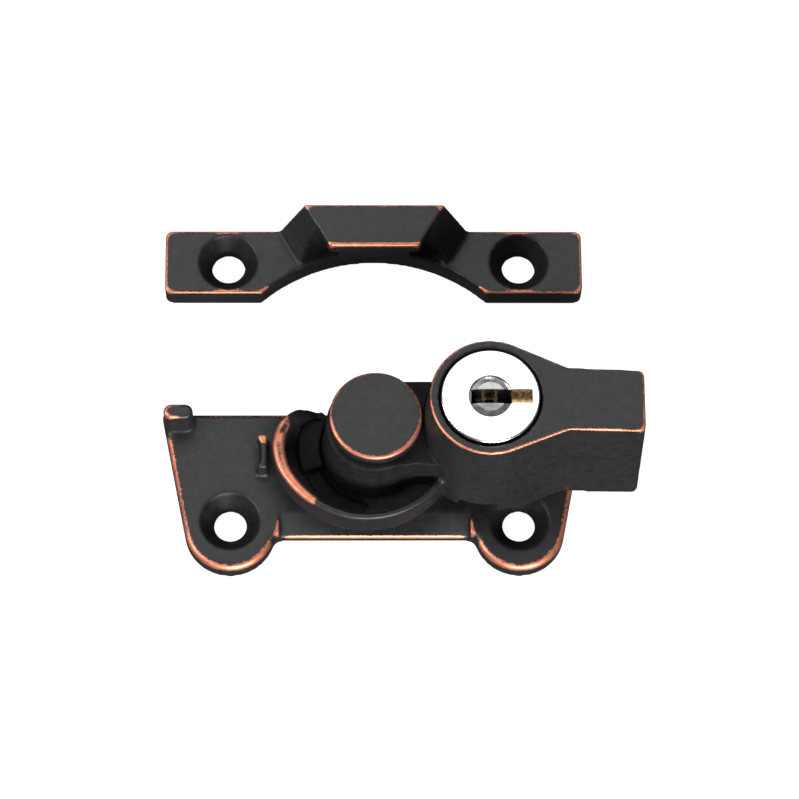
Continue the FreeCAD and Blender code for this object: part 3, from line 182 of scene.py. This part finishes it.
def smooth_values(values, edges, steps):
    """Each value becomes the mean of itself and its neighbours."""
    degree = np.bincount(edges.ravel(), minlength=len(values)) + 1.0
    for _ in range(steps):
        total = values.copy()
        total += np.bincount(edges[:, 0], weights=values[edges[:, 1]], minlength=len(values))
        total += np.bincount(edges[:, 1], weights=values[edges[:, 0]], minlength=len(values))
        values = total / degree
    return values


def vertex_normals(mesh):
    normals = np.zeros(len(mesh.vertices) * 3, np.float32)
    mesh.vertex_normals.foreach_get("vector", normals)
    return normals.reshape(-1, 3).astype(float)


ROUNDING_STEPS = 12
PULL = 0.5
WELD_DISTANCE = 0.002
EDGE_REACH = 0.55
FULL_RUB_BULGE = 0.20
MOST_RUB = 1.5
HOLLOW_START = 0.03
HOLLOW_SPAN = 0.12


def cast_copy(node, name, cell, soften, rounded, worn, painted_shade_of):
    """A fine mesh of a CAD node with soft cast edges, how far each spot is rubbed, and how much shade is
    painted on it.
    """
    merged = bmesh.new()
    merged.from_mesh(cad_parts[node].data)
    bmesh.ops.remove_doubles(merged, verts=merged.verts, dist=WELD_DISTANCE * MM)
    mesh = bpy.data.meshes.new(name)
    merged.to_mesh(mesh)
    merged.free()
    piece = bpy.data.objects.new(name, mesh)
    bpy.context.scene.collection.objects.link(piece)
    remesh = piece.modifiers.new("cells", "REMESH")
    remesh.mode = "VOXEL"
    remesh.voxel_size = cell * MM
    remesh.use_smooth_shade = True
    ready = piece.evaluated_get(bpy.context.evaluated_depsgraph_get())
    dense = bpy.data.meshes.new_from_object(ready)
    piece.modifiers.clear()
    piece.data = dense
    bpy.data.meshes.remove(mesh)
    dense.name = name

    count = len(dense.vertices)
    points = np.zeros(count * 3, np.float32)
    dense.vertices.foreach_get("co", points)
    points = points.reshape(-1, 3).astype(float)
    edges = np.zeros(len(dense.edges) * 2, np.int32)
    dense.edges.foreach_get("vertices", edges)
    edges = edges.reshape(-1, 2)
    points = smooth_points(points, edges, soften, PULL)
    more = rounded(points / MM)[:, None]
    if more.any():
        points = points + more * (smooth_points(points, edges, ROUNDING_STEPS, PULL) - points)
    low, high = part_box(node)
    points = np.clip(points, np.array(low), np.array(high))
    dense.vertices.foreach_set("co", points.astype(np.float32).ravel())
    dense.update()

    steps = int(round((EDGE_REACH / cell) ** 2 * 4))
    blurred = smooth_points(points, edges, steps, PULL)
    bulge = np.einsum("ij,ij->i", points - blurred, vertex_normals(dense)) / MM
    rub = smooth_values(np.clip(bulge / FULL_RUB_BULGE, 0, 2), edges, 1) * worn(points / MM)
    layer = dense.attributes.new("rub", "FLOAT", "POINT")
    layer.data.foreach_set("value", np.clip(rub, 0, MOST_RUB).astype(np.float32))
    # painted shade: hollows and the places given by the mask get an attribute that turns the gloss down
    # where shade falls
    painted_shade = np.maximum(np.clip((-bulge - HOLLOW_START) / HOLLOW_SPAN, 0, 1), painted_shade_of(points / MM))
    layer = dense.attributes.new("painted_shade", "FLOAT", "POINT")
    layer.data.foreach_set("value", smooth_values(painted_shade, edges, 3).astype(np.float32))
    return piece


def between(value, low, high, soft=0.5):
    """1 between low and high, fading to 0 over soft outside them."""
    up = np.clip((value - low) / soft + 1, 0, 1)
    down = np.clip((high - value) / soft + 1, 0, 1)
    return up * down


# ---------------------------------------------------------------- where the finish changes and where shade is painted, mm

FAR = 99
BELOW = -1
FINE_FADE = 0.3
SHADE_TOP = 5.5
HUB_SHADE_RADIUS = 12.5
WEB_SHADE_RADIUS = 10.5
HOUSING_MARGIN = 1.5
EAR_RIM_RADIUS = 5.2
CREST_START, CREST_END, CREST_FADE = 172, 226, 12  # degrees round the pivot


def not_rounded(p):
    return np.zeros(len(p))


def crest_rounded(p):
    """The cam wall has a fuller rounding than the rest of the lever."""
    x, y, z = p.T
    wall = between(z, WALL_TOP - 2.2, FAR, 1.5) * between(z, BELOW, WALL_TOP + 0.1, 0.2)
    outside = between(np.hypot(x, y), WALL_INNER_RADIUS, FAR)
    clear_of_housing = between(np.hypot(x - HOUSING_X, y), HOUSING_RADIUS + 1.45, FAR)
    return wall * outside * clear_of_housing


def feet_rounded(p):
    """The bridge's feet run out into the keeper's ears with a hollow rounding."""
    x, y, z = p.T
    near = between(np.abs(x), FOOT_HALF - 2.5, FOOT_HALF + 2.5, 1.0)
    low = between(z, KEEPER_EAR_TOP - 0.6, KEEPER_EAR_TOP + 3.0, 1.0)
    return near * low * between(y, LIP_Y, KEEPER_BACK_Y - 0.8)


def base_painted_shade(p):
    """Painted shade round the hub, under the lever and in the countersinks: the gloss is turned down there.
    """
    x, y, z = p.T
    around_hub = between(np.hypot(x, y), 0, HUB_SHADE_RADIUS, 4.0) * between(z, BELOW, SHADE_TOP)
    under_housing = between(np.hypot(x - HOUSING_X, y), 0, HOUSING_RADIUS + HOUSING_MARGIN, 3.0)
    under_housing *= between(z, BELOW, SHADE_TOP)
    screw = between(np.hypot(np.abs(x) - EAR_X, y - SCREW_Y), 0, COUNTERSINK_RADIUS, 0.4)
    return np.maximum.reduce([around_hub, under_housing, screw])


def lever_painted_shade(p):
    """Painted shade on the hub and the web, which stand in the shade of the cap and the housing."""
    x, y, z = p.T
    return between(np.hypot(x, y), 0, WEB_SHADE_RADIUS, 1.5) * between(z, BELOW, WEB_TOP + 0.2, FINE_FADE)


# Painted shade on the knob below the underside of its cap.
def knob_painted_shade(p):
    return between(p[:, 2], 0, KNOB_UNDER + 0.2, 0.2)


def keeper_painted_shade(p):
    """Painted shade in the countersinks and in the scoops beside the tongue: the gloss is turned down
    there.
    """
    x, y, z = p.T
    screw = between(np.hypot(np.abs(x) - KEEPER_SCREW_X, y - KEEPER_SCREW_Y), 0, COUNTERSINK_RADIUS, 0.4)
    scoop = 0.8 * between(np.abs(x), 0, SCOOP_HALF, 1.0) * between(y, SCOOP_FRONT_Y, SCOOP_BACK_Y, 0.8)
    scoop *= between(z, KEEPER_EAR_TOP, SCOOP_TOP, 0.4)
    return np.maximum(screw, scoop)


def base_wear(p):
    x, y, z = p.T
    ear = np.hypot(np.abs(x) - EAR_X, y - EAR_Y)
    rim = between(ear, EAR_RIM_RADIUS, FAR, FINE_FADE) * between(np.hypot(x, y), RING_RADIUS, FAR)
    recess = between(y, -20, RECESS_Y) * between(np.abs(x), 0, RECESS_HALF)
    worn = between(z, 0.8, PLATE_TOP + 0.4) * np.maximum(rim, recess)
    worn *= 1.0 - 0.15 * between(y, 4.0, 9.0) * between(x, -28, 40)
    worn *= between(np.hypot(x - POST_X, y - POST_Y), 2.4, FAR)
    fin = between(x, FIN_LEFT_X, FIN_RIGHT_X) * between(y, FIN_BACK_Y - 1.0, FIN_BACK_Y + 1, 0.6)
    fin *= between(z, FIN_TOP - 1.2, FAR)
    post = 0.7 * between(z, POST_TOP - 0.8, FAR, FINE_FADE) * between(x, -FAR, POST_X, 2.0)
    return np.clip(np.maximum.reduce([worn, fin, post]), 0, 1)


def lever_wear(p):
    x, y, z = p.T
    housing = np.hypot(x - HOUSING_X, y)
    top = between(z, LEVER_TOP - 1.0, LEVER_TOP, 0.4)
    outer = np.maximum(between(housing, HOUSING_RADIUS - 0.35, FAR, 0.2), between(x, GRIP_START_X - 3, FAR))
    front = between(y, -20, -2, 2.0)
    top_wear = top * outer * (0.60 + 0.15 * front)
    turn = np.degrees(np.arctan2(y, x)) % 360
    crest = between(z, WALL_TOP - 0.7, FAR, FINE_FADE) * between(turn, CREST_START, CREST_END, CREST_FADE)
    outside = between(np.hypot(x, y), WALL_INNER_RADIUS, FAR)
    crest *= outside * between(housing, HOUSING_RADIUS + HOUSING_MARGIN, FAR)
    return np.maximum(top_wear, crest)


def keeper_wear(p):
    x, y, z = p.T
    ear = between(z, KEEPER_EAR_TOP - 1.2, KEEPER_EAR_TOP + 0.2, FINE_FADE)
    front = 0.7 * between(y, KEEPER_FRONT_Y - 1, KEEPER_FRONT_Y + 1.0)
    front *= between(np.abs(x), KEEPER_EAR_INNER_X, FAR)
    end = 0.7 * between(np.abs(x), KEEPER_HALF - 1.2, FAR)
    back = 0.6 * between(y, KEEPER_BACK_Y - 1.0, FAR)
    ears = ear * np.maximum.reduce([front, end, back])
    bridge = between(z, BRIDGE_TOP - 1.0, FAR, FINE_FADE)
    lip = bridge * between(y, LIP_Y - 1, LIP_Y + 0.5, FINE_FADE) * between(np.abs(x), 0, LIP_HALF)
    ridge = 0.6 * bridge * between(y, KEEPER_BACK_Y - 0.8, FAR)
    return np.maximum.reduce([ears, lip, ridge])


def knob_wear(p):
    return (0.5 + 0.25 * between(p[:, 1], -FAR, -2, 2.0)) * between(p[:, 2], KNOB_TOP - 1.0, FAR, FINE_FADE)


# ---------------------------------------------------------------- materials

def new_material(name):
    material = bpy.data.materials.new(name)
    material.use_nodes = True
    nodes = material.node_tree.nodes
    return material, nodes, material.node_tree.links, nodes["Principled BSDF"]


def add_noise(nodes, links, scale, detail=3.0, stretch=None):
    """A noise value fixed to the part's own coordinates. Scale is per metre."""
    place = nodes.new("ShaderNodeTexCoord")
    noise = nodes.new("ShaderNodeTexNoise")
    noise.inputs["Scale"].default_value = scale
    noise.inputs["Detail"].default_value = detail
    if stretch is None:
        links.new(place.outputs["Object"], noise.inputs["Vector"])
    else:
        mapping = nodes.new("ShaderNodeMapping")
        mapping.inputs["Scale"].default_value = stretch
        links.new(place.outputs["Object"], mapping.inputs["Vector"])
        links.new(mapping.outputs["Vector"], noise.inputs["Vector"])
    return noise.outputs["Fac"]


def add_range(nodes, links, value, low, high, to_low=0.0, to_high=1.0, smooth=False):
    span = nodes.new("ShaderNodeMapRange")
    span.inputs["From Min"].default_value = low
    span.inputs["From Max"].default_value = high
    span.inputs["To Min"].default_value = to_low
    span.inputs["To Max"].default_value = to_high
    if smooth:
        span.interpolation_type = "SMOOTHSTEP"
    links.new(value, span.inputs["Value"])
    return span.outputs["Result"]


def add_math(nodes, links, kind, first, second):
    step = nodes.new("ShaderNodeMath")
    step.operation = kind
    for socket, value in zip(step.inputs, (first, second)):
        if isinstance(value, (int, float)):
            socket.default_value = value
        else:
            links.new(value, socket)
    return step.outputs["Value"]


def add_ramp(nodes, links, value, stops):
    ramp = nodes.new("ShaderNodeValToRGB")
    links.new(value, ramp.inputs["Fac"])
    elements = ramp.color_ramp.elements
    while len(elements) < len(stops):
        elements.new(0.5)
    for element, (position, colour) in zip(elements, stops):
        element.position = position
        element.color = (*colour, 1)
    return ramp.outputs["Color"]


def add_bump(nodes, links, shader, height, strength, distance):
    bump = nodes.new("ShaderNodeBump")
    bump.inputs["Strength"].default_value = strength
    bump.inputs["Distance"].default_value = distance
    links.new(height, bump.inputs["Height"])
    links.new(bump.outputs["Normal"], shader.inputs["Normal"])


def rubbed_bronze():
    """Satin black plating over copper, with the copper showing where the edges are rubbed, and painted
    shade that turns the gloss down in hollows and sheltered places.
    """
    material, nodes, links, shader = new_material("rubbed_bronze_and_painted_shade")
    rub = nodes.new("ShaderNodeAttribute")
    rub.attribute_name = "rub"
    patches = add_noise(nodes, links, 500, 4.0)
    streaks = add_noise(nodes, links, 2600, 2.0)
    ragged = add_math(nodes, links, "MULTIPLY", add_math(nodes, links, "SUBTRACT", patches, 0.5), 0.18)
    fine = add_math(nodes, links, "MULTIPLY", add_math(nodes, links, "SUBTRACT", streaks, 0.5), 0.30)
    amount = add_math(nodes, links, "ADD", rub.outputs["Fac"], add_math(nodes, links, "ADD", ragged, fine))
    bare = add_range(nodes, links, amount, 0.36, 0.54, smooth=True)
    tone = add_noise(nodes, links, 900, 3.0)
    black = add_ramp(nodes, links, tone, [(0.3, (0.009, 0.009, 0.010)), (0.7, (0.017, 0.016, 0.017))])
    copper = add_ramp(nodes, links, tone, [(0.3, (0.62, 0.21, 0.12)), (0.7, (0.78, 0.30, 0.19))])
    mix = nodes.new("ShaderNodeMix")
    mix.data_type = "RGBA"
    links.new(bare, mix.inputs[0])
    links.new(black, mix.inputs[6])
    links.new(copper, mix.inputs[7])
    links.new(mix.outputs[2], shader.inputs["Base Color"])
    links.new(add_range(nodes, links, bare, 0, 1, 0.0, 0.85), shader.inputs["Metallic"])
    # painted shade: the attribute turns the specular level down from 0.5 to 0.06
    painted_shade_node = nodes.new("ShaderNodeAttribute")
    painted_shade_node.attribute_name = "painted_shade"
    gloss = add_range(nodes, links, painted_shade_node.outputs["Fac"], 0, 1, 0.5, 0.06)
    links.new(gloss, shader.inputs["Specular IOR Level"])
    links.new(add_range(nodes, links, streaks, 0.3, 0.7, 0.40, 0.50), shader.inputs["Roughness"])
    add_bump(nodes, links, shader, streaks, 0.25, 0.00003)
    return material


def metal(name, dark, light, rough, grain=1200, stretch=None, bump=0.15):
    """Bare or plated metal with fine tool marks."""
    material, nodes, links, shader = new_material(name)
    marks = add_noise(nodes, links, grain, 4.0, stretch)
    colour = add_ramp(nodes, links, marks, [(0.3, dark), (0.7, light)])
    links.new(colour, shader.inputs["Base Color"])
    shader.inputs["Metallic"].default_value = 1.0
    links.new(add_range(nodes, links, marks, 0.3, 0.7, *rough), shader.inputs["Roughness"])
    add_bump(nodes, links, shader, marks, bump, 0.00002)
    return material


def dress(node, material):
    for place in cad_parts[node].material_slots:
        place.material = material


# ---------------------------------------------------------------- the lock

def make_castings():
    finish = rubbed_bronze()
    castings = [
        ("base_plate", "base_casting", "base", 0.22, 3, not_rounded, base_wear, base_painted_shade),
        ("cam_lever", "lever_casting", "lever", 0.22, 3, crest_rounded, lever_wear, lever_painted_shade),
        ("keeper", "keeper_casting", "keeper", 0.20, 3, feet_rounded, keeper_wear, keeper_painted_shade),
        ("pivot_knob", "knob_casting", "base", 0.15, 3, not_rounded, knob_wear, knob_painted_shade),
    ]
    for node, name, body, cell, soften, *masks in castings:
        piece = cast_copy(node, name, cell, soften, *masks)
        piece.data.materials.clear()
        piece.data.materials.append(finish)
        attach(piece, body)
        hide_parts(node)


def dress_cad_nodes():
    chrome = metal("bright_chrome_plate", (0.80, 0.81, 0.83), (0.92, 0.93, 0.94), (0.16, 0.26))
    nickel = metal("satin_nickel_plate", (0.26, 0.26, 0.26), (0.44, 0.44, 0.45), (0.22, 0.34))
    brass = metal("machined_brass", (0.30, 0.16, 0.05), (0.78, 0.60, 0.36), (0.20, 0.34))
    zinc = metal("zinc_plated_steel", (0.45, 0.46, 0.48), (0.66, 0.67, 0.70), (0.28, 0.42))
    finish_of = {"lock_face": chrome, "lock_plug": nickel, "lock_barrel": brass}
    for place in range(1, 6):
        finish_of[f"wafer_{place}"] = brass
    for name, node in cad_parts.items():
        if not node.hide_render:
            dress(name, finish_of.get(name, zinc))


make_camera()
make_stage()
make_castings()
dress_cad_nodes()
